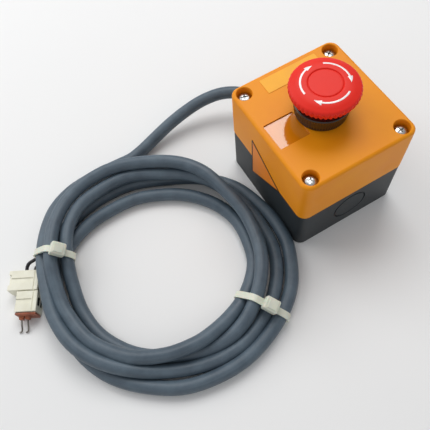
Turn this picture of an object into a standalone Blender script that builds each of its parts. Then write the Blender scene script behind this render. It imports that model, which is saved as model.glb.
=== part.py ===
"""Surface-mounted emergency stop station: a two-part enclosure with a twist-release mushroom
button and two contact blocks inside, on a coiled lead that ends in two small connectors.

Metres, +Z up. The origin is the centre of the enclosure's underside, where it stands or is
screwed on. The lead leaves the +Y side, a blank knockout is on the -Y side, and the coil
lies on the same surface beside the -X side.
"""
import math

import bmesh
import bpy
from mathutils import Matrix, Vector

MM = 0.001

# Enclosure
LID_X = 75 * MM
LID_Y = 81 * MM
LID_TOP = 71 * MM
PARTING = 36 * MM
PARTING_GAP = 0.4 * MM
BASE_INSET = 0.3 * MM
BASE_WALL = 2.7 * MM
LID_WALL = 2.7 * MM
FLOOR = 2.6 * MM
CORNER_R = 6 * MM
LID_FILLET = 2 * MM
SCREW_X = 30.3 * MM
SCREW_Y = 33.7 * MM
PILLAR_R = 5.0 * MM
WELL_R = 4.65 * MM
WELL_FLOOR = 65.2 * MM
SCREW_R = 1.85 * MM
SCREW_HOLE_R = 2.2 * MM
SCREW_END = 24 * MM
PANEL_HOLE_R = 11.3 * MM
FIXING_X = 20 * MM
FIXING_Y = 29 * MM
FIXING_R = 2.2 * MM
ENTRY_Z = 20 * MM
ENTRY_R = 10.2 * MM
KNOCKOUT_R = 11.3 * MM
RECESS_LOW = (-33.8 * MM, -10.4 * MM)
RECESS_HIGH = (-14.2 * MM, 8.0 * MM)
RECESS_DEPTH = 0.8 * MM
CORNER_SIGNS = ((-1, -1), (-1, 1), (1, -1), (1, 1))

# Button
TRAVEL = 5.5 * MM
HEAD_R = 20 * MM
FLUTES = 36
FLUTE_DEPTH = 0.45 * MM
BARREL_R = 11.0 * MM
BORE_R = 8.4 * MM
LEDGE_R = 5.4 * MM
SHANK_R = 4.9 * MM
STEM_R = 3.8 * MM
SOCKET_R = 4.1 * MM
ARROW_R = 13.4 * MM
ARROW_STARTS = (60.5, -59.5, 180.5)
ARROW_SWEEP = 79
ARROW_TIP = 14

# Contact blocks, one on each side of the button's axis
BLOCK_X = 8 * MM
BLOCK_W = 11 * MM
BLOCK_HALF_Y = 18 * MM
BLOCK_LOW = 20 * MM
BLOCK_TOP = 42 * MM
BLOCK_WALL = 1.2 * MM
BRIDGE_Z = 33.7 * MM
STRIP_Z = 35.0 * MM
TERMINAL_Y = 13.2 * MM
WIRE_Z = 30 * MM

# Lead, coil and what is on it
CABLE_R = 4.3 * MM
CORE_R = 1.15 * MM
COIL_CENTRE = Vector((-117.2, -9.5, 0)) * MM
COIL_OUTER = 78.8 * MM
COIL_INNER = 50.8 * MM
COIL_LOW = 2.0 * MM
COIL_TOP = 21 * MM
TIE_ANGLES = (145, -55)
TIE_HEAD_R = (66 * MM, 71 * MM)
# Centreline of the uncoiled lead, from inside the enclosure to the coil, in millimetres
LEAD_ROUTE = (
    (0, 34, 20), (0, 40, 20), (0, 46, 20), (-1.2, 54.5, 19.9), (-5.2, 64.5, 19.2),
    (-12.5, 74, 17.8), (-23, 81, 15.6), (-36, 84.6, 12.8), (-50, 85.4, 9.9),
    (-65, 83.6, 7.2), (-79, 80.7, 5.3), (-91, 78.4, 4.5), (-100, 76.5, 4.5), (-108, 74.6, 4.5),
)
LEAD_SPACING = 18 * MM
SLEEVE_END = 32 * MM
CONNECTOR_ORIGIN = Vector((-200, 20, 0)) * MM
CONNECTOR_YAW = math.radians(-28)

GAP = 0.3 * MM
STICKER_GAP = 0.05 * MM
ARROW_GAP = 0.16 * MM


for old in list(bpy.data.objects):
    bpy.data.objects.remove(old)


def material(name, colour, roughness, metallic=0.0):
    made = bpy.data.materials.new(name)
    made.use_nodes = True
    shader = made.node_tree.nodes["Principled BSDF"]
    shader.inputs["Base Color"].default_value = (*colour, 1)
    shader.inputs["Roughness"].default_value = roughness
    shader.inputs["Metallic"].default_value = metallic
    return made


LID_PLASTIC = material("orange_abs", (0.90, 0.36, 0.02), 0.35)
BASE_PLASTIC = material("grey_abs", (0.06, 0.062, 0.068), 0.5)
RED_PLASTIC = material("red_polyamide", (0.75, 0.012, 0.01), 0.25)
WHITE_INLAY = material("white_inlay", (0.85, 0.85, 0.83), 0.4)
BLACK_PLASTIC = material("black_polyamide", (0.015, 0.012, 0.01), 0.4)
BLACK_RUBBER = material("black_rubber", (0.02, 0.02, 0.02), 0.8)
ZINC_STEEL = material("zinc_plated_steel", (0.75, 0.75, 0.73), 0.25, 1.0)
SPRING_STEEL = material("spring_steel", (0.55, 0.55, 0.56), 0.3, 1.0)
BRASS = material("contact_brass", (0.78, 0.57, 0.22), 0.3, 1.0)
LABEL_FILM = material("yellow_label_film", (0.93, 0.55, 0.04), 0.4)
CABLE_PVC = material("grey_pvc", (0.13, 0.17, 0.22), 0.5)
CORE_PVC = material("black_pvc", (0.012, 0.012, 0.014), 0.4)
TIE_NYLON = material("natural_nylon", (0.75, 0.74, 0.62), 0.45)
HOUSING_NYLON = material("white_nylon", (0.83, 0.82, 0.72), 0.4)
BROWN_BOARD = material("brown_phenolic", (0.25, 0.07, 0.025), 0.5)


def add(name, bm, look, smooth_angle=35):
    """Makes the object of a bmesh, with its normals outward and its round parts smooth."""
    bmesh.ops.remove_doubles(bm, verts=bm.verts, dist=1e-7)
    bmesh.ops.recalc_face_normals(bm, faces=bm.faces)
    mesh = bpy.data.meshes.new(name)
    bm.to_mesh(mesh)
    bm.free()
    mesh.shade_smooth()
    mesh.set_sharp_from_angle(angle=math.radians(smooth_angle))
    made = bpy.data.objects.new(name, mesh)
    made.data.materials.append(look)
    bpy.context.scene.collection.objects.link(made)
    return made


def combine(target, tool, operation):
    """Adds or cuts away a tool, which stays out of the finished part."""
    step = target.modifiers.new(f"{operation.lower()}_{tool.name}", "BOOLEAN")
    step.operation = operation
    step.object = tool
    tool.hide_render = True
    tool.display_type = "WIRE"


def box_bmesh(low, high, upright_radius=0.0, steps=4):
    """A box between two corners, its four upright edges rounded."""
    bm = bmesh.new()
    bmesh.ops.create_cube(bm, size=1)
    size = Vector(high) - Vector(low)
    centre = (Vector(high) + Vector(low)) / 2
    bmesh.ops.scale(bm, vec=size, verts=bm.verts)
    bmesh.ops.translate(bm, vec=centre, verts=bm.verts)
    if upright_radius:
        upright = [e for e in bm.edges if abs((e.verts[0].co - e.verts[1].co).z) > size.z / 2]
        bmesh.ops.bevel(bm, geom=upright, offset=upright_radius, segments=steps,
                        profile=0.5, affect="EDGES", material=-1)
    return bm


def box(name, low, high, look, upright_radius=0.0, steps=4):
    return add(name, box_bmesh(low, high, upright_radius, steps), look)


def turned_bmesh(profile, steps):
    """A closed solid of revolution about Z from an outline of (radius, height) points."""
    bm = bmesh.new()
    ring = [bm.verts.new((radius, 0, height)) for radius, height in profile]
    edges = [bm.edges.new(pair) for pair in zip(ring, ring[1:] + ring[:1])]
    bmesh.ops.spin(bm, geom=ring + edges, cent=(0, 0, 0), axis=(0, 0, 1), dvec=(0, 0, 0),
                   angle=2 * math.pi, steps=steps, use_merge=True, use_duplicate=False)
    bmesh.ops.remove_doubles(bm, verts=bm.verts, dist=1e-7)
    on_axis = [e for e in bm.edges if all(v.co.xy.length < 1e-8 for v in e.verts)]
    bmesh.ops.delete(bm, geom=on_axis, context="EDGES")
    return bm


def turned(name, profile, look, steps=40, at=(0, 0, 0)):
    """A solid of revolution about Z from an outline of (radius, height) points in millimetres."""
    made = add(name, turned_bmesh([(r * MM, z * MM) for r, z in profile], steps), look)
    made.location = at
    return made


def rod(name, radius, low, high, look, at=(0, 0), steps=16):
    """A plain upright cylinder between two heights."""
    outline = [(0, low), (radius, low), (radius, high), (0, high)]
    made = add(name, turned_bmesh(outline, steps), look)
    made.location = (*at, 0)
    return made


def entry_hole(name, radius, y_low, y_high, look, steps=24):
    """A cylinder along Y at the height of the cable entry."""
    made = rod(name, radius, y_low, y_high, look, steps=steps)
    made.rotation_euler = (-math.pi / 2, 0, 0)
    made.location = (0, 0, ENTRY_Z)
    return made


def smooth_points(route, spacing):
    """Points a fixed spacing apart on the smooth curve through the route's own points."""
    knots = [Vector(p) * MM for p in route]
    knots = [2 * knots[0] - knots[1]] + knots + [2 * knots[-1] - knots[-2]]
    fine = []
    for a, b, c, d in zip(knots, knots[1:], knots[2:], knots[3:]):
        for i in range(24):
            t = i / 24
            fine.append(0.5 * (2 * b + (c - a) * t + (2 * a - 5 * b + 4 * c - d) * t ** 2
                               + (3 * b - a - 3 * c + d) * t ** 3))
    fine.append(knots[-2])
    lengths = [0.0]
    for a, b in zip(fine, fine[1:]):
        lengths.append(lengths[-1] + (b - a).length)
    count = max(2, round(lengths[-1] / spacing))
    picked = []
    j = 0
    for i in range(count + 1):
        target = lengths[-1] * i / count
        while j < len(lengths) - 2 and lengths[j + 1] < target:
            j += 1
        share = (target - lengths[j]) / (lengths[j + 1] - lengths[j])
        picked.append(fine[j].lerp(fine[j + 1], share))
    return picked


def tube(name, points, radius, look, sides=3):
    """A plain round tube with closed ends along a list of points."""
    curve = bpy.data.curves.new(name, "CURVE")
    curve.dimensions = "3D"
    curve.bevel_depth = radius
    curve.bevel_resolution = sides
    curve.use_fill_caps = True
    line = curve.splines.new("POLY")
    line.points.add(len(points) - 1)
    for slot, point in zip(line.points, points):
        slot.co = (*point, 1)
    made = bpy.data.objects.new(name, curve)
    made.data.materials.append(look)
    bpy.context.scene.collection.objects.link(made)
    return made


def spring(name, radius, wire, low, high, turns, look, at=(0, 0)):
    """A compression spring about an upright axis, its closed ends included in its height."""
    per_turn = 10
    points = []
    for i in range(turns * per_turn + 1):
        angle = 2 * math.pi * i / per_turn
        rise = low + wire + (high - low - 2 * wire) * i / (turns * per_turn)
        points.append((at[0] + radius * math.cos(angle), at[1] + radius * math.sin(angle), rise))
    return tube(name, points, wire, look, sides=1)


# ---- Enclosure -------------------------------------------------------------------------------

def base_shell():
    x = LID_X / 2 - BASE_INSET
    y = LID_Y / 2 - BASE_INSET
    rim = PARTING - PARTING_GAP / 2
    shell = box("base_shell", (-x, -y, 0), (x, y, rim), BASE_PLASTIC, CORNER_R - BASE_INSET)
    hollow = box("base_hollow", (BASE_WALL - x, BASE_WALL - y, FLOOR),
                 (x - BASE_WALL, y - BASE_WALL, PARTING + 5 * MM), BASE_PLASTIC, 3 * MM)
    combine(shell, hollow, "DIFFERENCE")
    for i, (sx, sy) in enumerate(CORNER_SIGNS, 1):
        at = (sx * SCREW_X, sy * SCREW_Y)
        pillar = rod(f"base_pillar_{i}", PILLAR_R, FLOOR / 2, rim - 0.6 * MM, BASE_PLASTIC, at)
        combine(shell, pillar, "UNION")
        pilot = rod(f"pilot_{i}", SCREW_HOLE_R, SCREW_END - 2 * MM, PARTING + MM, BASE_PLASTIC, at)
        combine(shell, pilot, "DIFFERENCE")
        at = (sx * FIXING_X, sy * FIXING_Y)
        fixing = rod(f"fixing_{i}", FIXING_R, -MM, FLOOR + MM, BASE_PLASTIC, at)
        combine(shell, fixing, "DIFFERENCE")
    combine(shell, gasket_groove("base_groove"), "DIFFERENCE")
    entry = entry_hole("entry", ENTRY_R, y - BASE_WALL - MM, y + MM, BASE_PLASTIC, 32)
    combine(shell, entry, "DIFFERENCE")
    inner = KNOCKOUT_R / MM - 0.4
    outer = KNOCKOUT_R / MM + 0.4
    ring = turned("knockout_ring", [(inner, 0), (outer, 0), (outer, 1), (inner, 1)], BASE_PLASTIC, 32)
    ring.location = (0, -y + 0.5 * MM, ENTRY_Z)
    ring.rotation_euler = (math.pi / 2, 0, 0)
    combine(shell, ring, "DIFFERENCE")


def rim_loop(name, inset, width, half_height, look):
    """A rectangular loop along the enclosure's rim, centred on the parting line."""
    x = LID_X / 2 - inset
    y = LID_Y / 2 - inset
    low = PARTING - half_height
    top = PARTING + half_height
    loop = box(name, (-x, -y, low), (x, y, top), look, CORNER_R - inset)
    inner_low = (width - x, width - y, low - MM)
    inner_high = (x - width, y - width, top + MM)
    inner = box(f"{name}_inner", inner_low, inner_high, look, CORNER_R - inset - width)
    combine(loop, inner, "DIFFERENCE")
    return loop


def gasket_groove(name):
    """The channel that the seal lies in, cut into the rims of both halves."""
    return rim_loop(name, 0.9 * MM, 1.3 * MM, 1.3 * MM, BASE_PLASTIC)


def lid_gasket():
    rim_loop("lid_gasket", 1.2 * MM, 0.7 * MM, MM, BLACK_RUBBER)


def lid_shell():
    x = LID_X / 2
    y = LID_Y / 2
    low = PARTING + PARTING_GAP / 2
    bm = box_bmesh((-x, -y, low), (x, y, LID_TOP), CORNER_R, 4)
    top_edges = [e for e in bm.edges if all(v.co.z > LID_TOP - 1e-6 for v in e.verts)]
    bmesh.ops.bevel(bm, geom=top_edges, offset=LID_FILLET, segments=2, profile=0.5,
                    affect="EDGES", material=-1)
    shell = add("lid_shell", bm, LID_PLASTIC)
    hollow = box("lid_hollow", (LID_WALL - x, LID_WALL - y, low - 5 * MM),
                 (x - LID_WALL, y - LID_WALL, LID_TOP - LID_WALL), LID_PLASTIC, 3.3 * MM)
    combine(shell, hollow, "DIFFERENCE")
    well_r = WELL_R / MM
    well_outline = [(0, 0), (well_r, 0), (well_r, 5.4), (well_r + 0.8, 6.2), (0, 6.2)]
    for i, (sx, sy) in enumerate(CORNER_SIGNS, 1):
        at = (sx * SCREW_X, sy * SCREW_Y)
        pillar_r = WELL_R + 1.1 * MM
        pillar = rod(f"lid_pillar_{i}", pillar_r, low + 0.6 * MM, LID_TOP - MM, LID_PLASTIC, at)
        combine(shell, pillar, "UNION")
        well = turned(f"well_{i}", well_outline, LID_PLASTIC, 20, at=(*at, WELL_FLOOR))
        combine(shell, well, "DIFFERENCE")
        hole = rod(f"lid_hole_{i}", SCREW_HOLE_R, PARTING - 3 * MM, WELL_FLOOR + MM, LID_PLASTIC, at)
        combine(shell, hole, "DIFFERENCE")
    combine(shell, gasket_groove("lid_groove"), "DIFFERENCE")
    panel_low = LID_TOP - 2 * LID_WALL
    panel_hole = rod("panel_hole", PANEL_HOLE_R, panel_low, LID_TOP + MM, LID_PLASTIC, steps=40)
    combine(shell, panel_hole, "DIFFERENCE")
    recess_low = (*RECESS_LOW, LID_TOP - RECESS_DEPTH)
    recess_high = (*RECESS_HIGH, LID_TOP + MM)
    recess = box("legend_recess", recess_low, recess_high, LID_PLASTIC, 0.8 * MM, 2)
    combine(shell, recess, "DIFFERENCE")


def lid_screws():
    """Pan-head screws down through the lid's wells into the pillars of the base."""
    head = (WELL_FLOOR + GAP) / MM
    shank = SCREW_R / MM
    end = SCREW_END / MM
    profile = [
        (0, end), (shank - 0.8, end), (shank, end + 2), (shank, head), (3.8, head),
        (3.8, head + 1.3), (3.3, head + 2.1), (1.9, head + 2.5), (0, head + 2.6),
    ]
    for i, (sx, sy) in enumerate(CORNER_SIGNS, 1):
        at = (sx * SCREW_X, sy * SCREW_Y, 0)
        screw = turned(f"lid_screw_{i}", profile, ZINC_STEEL, 20, at)
        for j, (a, b) in enumerate(((2.1, 0.4), (0.4, 2.1)), 1):
            high = (a * MM, b * MM, 3 * MM)
            slot = box(f"screw_{i}_slot_{j}", (-high[0], -high[1], 0), high, ZINC_STEEL)
            slot.location = (at[0], at[1], (head + 1.2) * MM)
            slot.rotation_euler = (0, 0, math.radians(20 + 25 * i))
            combine(screw, slot, "DIFFERENCE")


def labels():
    """A blank name label on the lid, and a plain triangle across the parting line."""
    z = LID_TOP + STICKER_GAP
    box("name_label", (-18.2 * MM, 25.8 * MM, z), (20.7 * MM, 36.8 * MM, z + 0.2 * MM), LABEL_FILM)
    side = 36 * MM
    x = -LID_X / 2 - STICKER_GAP
    centre = Vector((x, 3.4 * MM, PARTING + 0.5 * MM))
    bm = bmesh.new()
    corners = []
    for angle in (180, 300, 60):
        reach = side / math.sqrt(3)
        turn = math.radians(angle)
        corners.append(bm.verts.new(centre + reach * Vector((0, math.cos(turn), math.sin(turn)))))
    face = bm.faces.new(corners)
    out = bmesh.ops.extrude_face_region(bm, geom=[face])
    moved = [v for v in out["geom"] if isinstance(v, bmesh.types.BMVert)]
    bmesh.ops.translate(bm, vec=(-0.2 * MM, 0, 0), verts=moved)
    along = [e for e in bm.edges if abs((e.verts[0].co - e.verts[1].co).x) > 0.1 * MM]
    bmesh.ops.bevel(bm, geom=along, offset=1.2 * MM, segments=3, profile=0.5,
                    affect="EDGES", material=-1)
    add("triangle_label", bm, LABEL_FILM)


# ---- Button ----------------------------------------------------------------------------------

def mushroom_cap():
    """The head with its fluted rim, a shallow ring groove on top and a hollow neck below."""
    outline = [
        (0, 93.65), (8.9, 94.0), (9.55, 93.5), (10.2, 94.0), (14, 93.75), (17.4, 93.0), (19.2, 92.2),
        (HEAD_R / MM, 91.2), (19.5, 89.0), (18.1, 86.0), (16.9, 86.0), (16.9, 89.0), (11.6, 89.6),
        (11.6, 79.9), (9.8, 79.9), (9.8, 87.5), (SOCKET_R / MM, 87.5), (SOCKET_R / MM, 91.5), (0, 91.5),
    ]
    bm = turned_bmesh([(r * MM, z * MM) for r, z in outline], 2 * FLUTES)
    rim_r = 18 * MM
    crown = 91.5 * MM
    for vertex in bm.verts:
        radius = vertex.co.xy.length
        if radius > rim_r and vertex.co.z < crown:
            step = round(math.atan2(vertex.co.y, vertex.co.x) / (math.pi / FLUTES))
            if step % 2:
                vertex.co.xy *= (radius - FLUTE_DEPTH) / radius
    add("mushroom_cap", bm, RED_PLASTIC)


def head_height(radius):
    """Height of the head's top face outside its ring groove."""
    if radius < 14 * MM:
        return (94.0 - 0.25 * (radius / MM - 10.2) / 3.8) * MM
    return (93.75 - 0.75 * (radius / MM - 14) / 3.4) * MM


def release_arrows():
    """Three arc arrows that point clockwise, thin pads following the head's top face."""
    stroke = 0.7 * MM
    barb = 1.7 * MM
    pieces = 10
    for i, start in enumerate(ARROW_STARTS, 1):
        bm = bmesh.new()
        stations = [(start - ARROW_SWEEP * k / pieces, stroke) for k in range(pieces + 1)]
        stations.append((start - ARROW_SWEEP - 0.5, barb))
        stations.append((start - ARROW_SWEEP - ARROW_TIP, 0.12 * MM))
        rows = []
        for angle, half in stations:
            turn = math.radians(angle)
            row = []
            for radius in (ARROW_R - half, ARROW_R + half):
                x = radius * math.cos(turn)
                y = radius * math.sin(turn)
                for rise in (ARROW_GAP, ARROW_GAP + 0.25 * MM):
                    row.append(bm.verts.new((x, y, head_height(radius) + rise)))
            rows.append(row)
        for a, b in zip(rows, rows[1:]):
            for j, k in ((0, 1), (1, 3), (3, 2), (2, 0)):
                bm.faces.new((a[j], a[k], b[k], b[j]))
        for row in (rows[0], rows[-1]):
            bm.faces.new((row[0], row[1], row[3], row[2]))
        add(f"release_arrow_{i}", bm, WHITE_INLAY)


def cap_stem():
    """The shaft that hangs from the head and turns in the plunger's socket."""
    r = STEM_R / MM
    outline = [(0, 71.9), (r - 0.6, 71.9), (r, 72.5), (r, 91.2), (0, 91.2)]
    turned("cap_stem", outline, ZINC_STEEL, 20)


def push_plunger():
    """Slides only: a socket for the stem, a flange on the spring and a foot over the pushers."""
    foot_low = BLOCK_TOP + TRAVEL + 0.8 * MM
    shank = SHANK_R / MM
    socket = SOCKET_R / MM
    outline = [
        (0, 50.5), (shank, 50.5), (shank, 68.5), (7.9, 68.5), (7.9, 70.0), (6.2, 70.6), (6.2, 80),
        (socket, 80), (socket, 71.5), (0, 71.5),
    ]
    plunger = turned("push_plunger", outline, BLACK_PLASTIC, 24)
    foot_high = (11 * MM, 3.3 * MM, 51 * MM)
    foot = box("plunger_foot", (-11 * MM, -3.3 * MM, foot_low), foot_high, BLACK_PLASTIC)
    combine(plunger, foot, "UNION")


def actuator_barrel():
    """Threaded bush through the lid, with a flange above it and a ledge for the spring."""
    barrel = BARREL_R / MM
    bore = BORE_R / MM
    ledge = LEDGE_R / MM
    outline = [(ledge, 52), (barrel - 0.6, 52), (barrel, 52.8)]
    for k in range(4):
        z = 55 + 2.4 * k
        outline += [(barrel, z), (barrel - 0.6, z + 0.8), (barrel, z + 1.6)]
    outline += [(barrel, 72.5), (13.2, 72.5), (13.2, 74), (bore, 74), (bore, 57), (ledge, 57)]
    turned("actuator_barrel", outline, BLACK_PLASTIC, 28)


def collar():
    """The ribbed bezel between the lid and the head, a little wider at its top."""
    outline = [
        (15.0, 71.3), (15.1, 72.2), (16.5, 80.2), (16.1, 81.0), (13.4, 81.0), (13.4, 76.2), (12.2, 75.7),
        (12.2, 74.3), (13.6, 74.3), (13.6, 72.5), (14.5, 72.5), (14.5, 71.3),
    ]
    turned("collar", outline, BLACK_PLASTIC, 36)


def panel_fixings():
    """The rubber washer under the collar, and the nut that clamps the lid from inside."""
    washer = [(11.5, 71.3), (14.2, 71.3), (14.2, 72.2), (11.5, 72.2)]
    turned("collar_gasket", washer, BLACK_RUBBER, 36)
    outline = [
        (11.35, 63.4), (14.6, 63.4), (15.0, 64.0), (15.0, 67.4), (14.6, 68.0), (11.35, 68.0),
    ]
    nut = turned("ring_nut", outline, ZINC_STEEL, 36)
    notch_low = (13.6 * MM, -1.3 * MM, 62 * MM)
    notch_high = (17 * MM, 1.3 * MM, 69 * MM)
    for k in range(6):
        notch = box(f"nut_notch_{k}", notch_low, notch_high, ZINC_STEEL)
        notch.rotation_euler = (0, 0, math.radians(60 * k))
        combine(nut, notch, "DIFFERENCE")


def contact_carrier():
    """The block that clips on the barrel's end and holds both contact blocks."""
    low = (-15.5 * MM, -BLOCK_HALF_Y, BLOCK_TOP + GAP)
    high = (15.5 * MM, BLOCK_HALF_Y, 56 * MM)
    carrier = box("contact_carrier", low, high, BLACK_PLASTIC, 2 * MM, 2)
    bore = rod("carrier_bore", BARREL_R + GAP, 51.7 * MM, 57 * MM, BLACK_PLASTIC, steps=36)
    combine(carrier, bore, "DIFFERENCE")
    low = (-12 * MM, -5.6 * MM, 41 * MM)
    high = (12 * MM, 5.6 * MM, 53 * MM)
    combine(carrier, box("carrier_window", low, high, BLACK_PLASTIC), "DIFFERENCE")


# ---- Contact blocks --------------------------------------------------------------------------

def contact_block(number, side):
    """One normally closed contact: housing, cover, pusher, bridge, spring and two terminals."""
    centre = side * BLOCK_X
    inboard = centre - side * BLOCK_W / 2
    outboard = centre + side * BLOCK_W / 2

    def between(x_a, x_b, half_y, low, top):
        """Low and high corner of a box centred on the block in Y."""
        return (min(x_a, x_b), -half_y, low), (max(x_a, x_b), half_y, top)

    y = BLOCK_HALF_Y
    corners = between(inboard, outboard, y, BLOCK_LOW, BLOCK_TOP)
    housing = box(f"contact_housing_{number}", *corners, BLACK_PLASTIC)
    corners = between(inboard + side * BLOCK_WALL, outboard + side * MM, y - BLOCK_WALL,
                      BLOCK_LOW + BLOCK_WALL, BLOCK_TOP - BLOCK_WALL)
    combine(housing, box(f"housing_hollow_{number}", *corners, BLACK_PLASTIC), "DIFFERENCE")
    corners = between(centre - 2.9 * MM, centre + 2.9 * MM, 3.8 * MM, BLOCK_TOP - 3 * MM, BLOCK_TOP + MM)
    combine(housing, box(f"pusher_hole_{number}", *corners, BLACK_PLASTIC), "DIFFERENCE")

    cover_in = outboard + side * GAP
    cover_out = cover_in + side * 1.1 * MM
    corners = between(cover_in, cover_out, y, BLOCK_LOW, BLOCK_TOP)
    box(f"contact_cover_{number}", *corners, BLACK_PLASTIC)

    corners = between(centre - 2.5 * MM, centre + 2.5 * MM, 3.4 * MM, 31.5 * MM, 48 * MM)
    pusher = box(f"contact_pusher_{number}", *corners, RED_PLASTIC)
    corners = between(centre - 1.6 * MM, centre + 1.6 * MM, 5 * MM,
                      BRIDGE_Z - 0.8 * MM, BRIDGE_Z + 0.8 * MM)
    combine(pusher, box(f"bridge_window_{number}", *corners, RED_PLASTIC), "DIFFERENCE")

    corners = between(centre - 1.3 * MM, centre + 1.3 * MM, 9.8 * MM,
                      BRIDGE_Z - 0.5 * MM, BRIDGE_Z + 0.5 * MM)
    box(f"contact_bridge_{number}", *corners, BRASS)
    spring(f"contact_spring_{number}", 1.7 * MM, 0.3 * MM, 21.5 * MM, 31.2 * MM, 5, SPRING_STEEL,
           (centre, 0))

    for letter, end in (("a", -1), ("b", 1)):
        terminal = f"{number}{letter}"
        near = end * 6 * MM
        far = end * 16.4 * MM
        low = (centre - 2.5 * MM, min(near, far), STRIP_Z - 0.5 * MM)
        high = (centre + 2.5 * MM, max(near, far), STRIP_Z + 0.5 * MM)
        strip = box(f"fixed_contact_{terminal}", low, high, BRASS)
        at = (centre, end * TERMINAL_Y)
        hole = rod(f"strip_hole_{terminal}", 1.6 * MM, 33 * MM, 37 * MM, BRASS, at, 12)
        combine(strip, hole, "DIFFERENCE")
        outline = [(0, 31.7), (2.3, 31.7), (2.3, 34.2), (1.3, 34.2), (1.3, 39), (0, 39)]
        turned(f"terminal_screw_{terminal}", outline, ZINC_STEEL, 14, at=(*at, 0))
        driver_hole = rod(f"driver_hole_{terminal}", 2.7 * MM, BLOCK_LOW - MM, BLOCK_LOW + 2 * MM,
                          BLACK_PLASTIC, at, 16)
        combine(housing, driver_hole, "DIFFERENCE")
        wire_hole = rod(f"wire_hole_{terminal}", 1.5 * MM, y - 2 * MM, y + MM, BLACK_PLASTIC, steps=12)
        wire_hole.rotation_euler = (-end * math.pi / 2, 0, 0)
        wire_hole.location = (centre, 0, WIRE_Z)
        combine(housing, wire_hole, "DIFFERENCE")


def inner_cores():
    """Four insulated cores from the end of the jacket to the four terminals."""
    for number, side in ((1, -1), (2, 1)):
        x = side * BLOCK_X / MM
        z = WIRE_Z / MM
        near = (
            (side * 1.8, 28.6, 21.8), (side * 4, 26, 24.6), (side * 6.8, 22.8, 28.6),
            (x, 19.6, z), (x, 16.2, z),
        )
        far = (
            (side * 1.8, 28.6, 18.2), (side * 2.9, 24, 12.2), (side * 5, 15, 9), (side * 6.5, 0, 8),
            (side * 7.5, -15, 9.5), (x, -22.8, 15), (x, -24.6, 22), (x, -22.8, 28),
            (x, -19.6, z), (x, -16.2, z),
        )
        tube(f"inner_core_{number}b", smooth_points(near, 2.6 * MM), CORE_R, CORE_PVC, 2)
        tube(f"inner_core_{number}a", smooth_points(far, 4.5 * MM), CORE_R, CORE_PVC, 2)


# ---- Lead ------------------------------------------------------------------------------------

def lead_frame(distance, path, travelled):
    """Point and direction on the lead at a distance from its first point."""
    j = next((k for k, s in enumerate(travelled) if s >= distance), len(path) - 1)
    j = max(1, j)
    along = (path[j] - path[j - 1]).normalized()
    return path[j - 1] + along * (distance - travelled[j - 1]), along


def cable_grommet(path, travelled):
    """Moulded entry bush: a lip inside the wall, a flange outside and a tapered tail."""
    wall_in = LID_Y / 2 - BASE_INSET - BASE_WALL - path[0].y
    wall_out = LID_Y / 2 - BASE_INSET - path[0].y
    bush_start = wall_in - 2.4 * MM
    bore = CABLE_R / MM + 0.3
    outline = [
        (bush_start, bore), (bush_start, 9.2), (wall_in - GAP, 11.2), (wall_in - GAP, 9.9),
        (wall_out + GAP, 9.9), (wall_out + GAP, 12.8), (wall_out + 2.2 * MM, 12.8),
        (wall_out + 2.8 * MM, 12.2), (wall_out + 2.8 * MM, 9.0), (wall_out + 8 * MM, 7.9),
        (wall_out + 14 * MM, 6.8), (wall_out + 20 * MM, 5.9), (SLEEVE_END, 5.3), (SLEEVE_END, bore),
        (wall_out + 20 * MM, bore), (wall_out + 14 * MM, bore), (wall_out + 8 * MM, bore),
        (wall_out, bore),
    ]
    steps = 18
    bm = bmesh.new()
    rows = []
    for distance, radius in outline:
        place, along = lead_frame(distance, path, travelled)
        side = along.cross(Vector((0, 0, 1))).normalized()
        up = side.cross(along)
        row = []
        for k in range(steps):
            turn = 2 * math.pi * k / steps
            spoke = side * math.cos(turn) + up * math.sin(turn)
            row.append(bm.verts.new(place + radius * MM * spoke))
        rows.append(row)
    for a, b in zip(rows, rows[1:] + rows[:1]):
        for k in range(steps):
            n = (k + 1) % steps
            bm.faces.new((a[k], a[n], b[n], b[k]))
    add("cable_grommet", bm, BLACK_RUBBER)


def lead():
    path = smooth_points(LEAD_ROUTE, MM)
    travelled = [0.0]
    for a, b in zip(path, path[1:]):
        travelled.append(travelled[-1] + (b - a).length)
    cable_grommet(path, travelled)
    stub = rod("jacket_stub", CABLE_R, 30.5 * MM, 40.2 * MM, CABLE_PVC, steps=16)
    stub.rotation_euler = (-math.pi / 2, 0, 0)
    stub.location = (0, 0, ENTRY_Z)
    outside = [p / MM for p, s in zip(path, travelled) if s >= SLEEVE_END + GAP]
    tube("cable_lead", smooth_points(outside, LEAD_SPACING), CABLE_R, CABLE_PVC, 3)


def coil():
    """The coiled lead's outer shape, a ring with a rounded cross-section."""
    low = COIL_LOW / MM
    top = COIL_TOP / MM
    inner = COIL_INNER / MM
    outer = COIL_OUTER / MM
    edge = 4.0
    half = edge * (1 - math.sqrt(0.5))
    outline = [
        (inner + edge, low), (outer - edge, low), (outer - half, low + half), (outer, low + edge),
        (outer, top - edge), (outer - half, top - half), (outer - edge, top),
        (inner + edge, top), (inner + half, top - half), (inner, top - edge), (inner, low + edge),
        (inner + half, low + half),
    ]
    turned("cable_coil", outline, CABLE_PVC, 48, at=COIL_CENTRE)


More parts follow.
